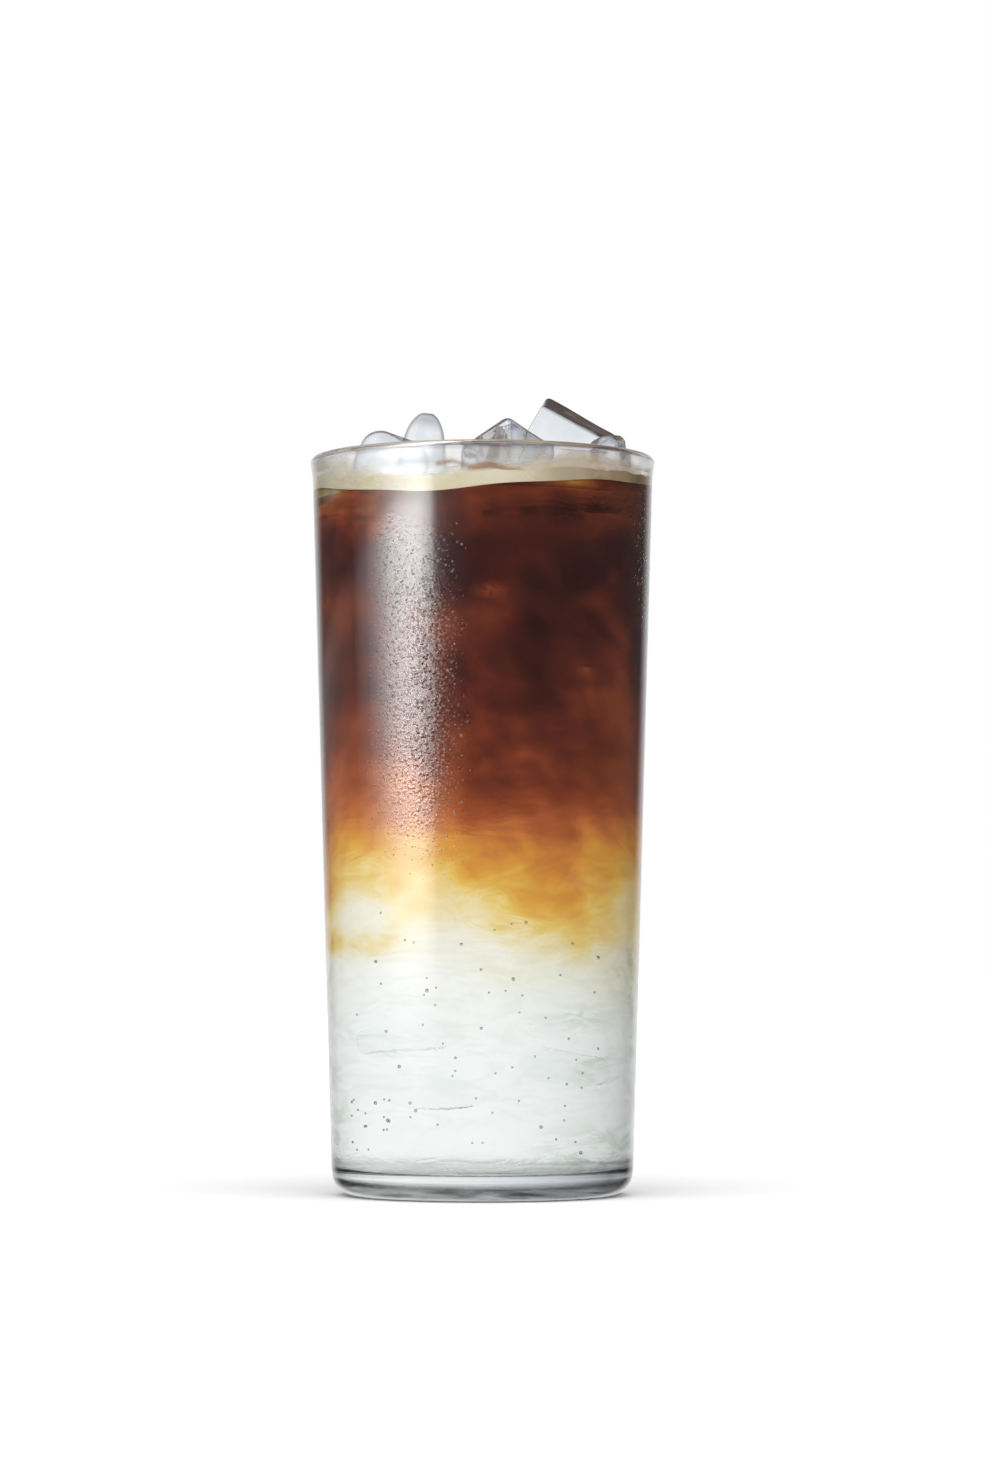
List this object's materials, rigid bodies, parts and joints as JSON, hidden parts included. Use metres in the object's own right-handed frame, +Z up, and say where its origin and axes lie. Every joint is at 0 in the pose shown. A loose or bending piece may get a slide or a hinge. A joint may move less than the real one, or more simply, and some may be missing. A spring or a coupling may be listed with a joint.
{
  "type": "iced coffee and tonic drink in a tall glass tumbler",
  "caption": "Tall tapered clear tumbler of iced coffee floated on tonic water, with a pale foam and ice cubes standing above the lip.",
  "frame": {"origin": "on the tumbler's axis, at the surface it stands on", "axes": "+Z up along the tumbler's axis, -Y towards the viewer of the picture, +X to the viewer's right"},
  "size_m": [0.0736, 0.0736, 0.1714],
  "materials": {
    "clear_glass": "clear pressed soda glass, fire-polished lip, fine condensation outside",
    "tonic_water": "clear carbonated water with small bubbles",
    "coffee": "dark red-brown liquid, amber and golden where it thins into the water below",
    "crema": "pale cream-coloured fine foam",
    "ice": "wet clear ice with melted corners"
  },
  "bodies": {
    "root": {"tumbler": "clear_glass", "tonic_water": "tonic_water", "coffee": "coffee", "crema": "crema", "ice_left": "ice", "ice_dome": "ice", "ice_front": "ice", "ice_tall": "ice", "ice_shard": "ice", "ice_back": "ice"}
  },
  "joints": []
}
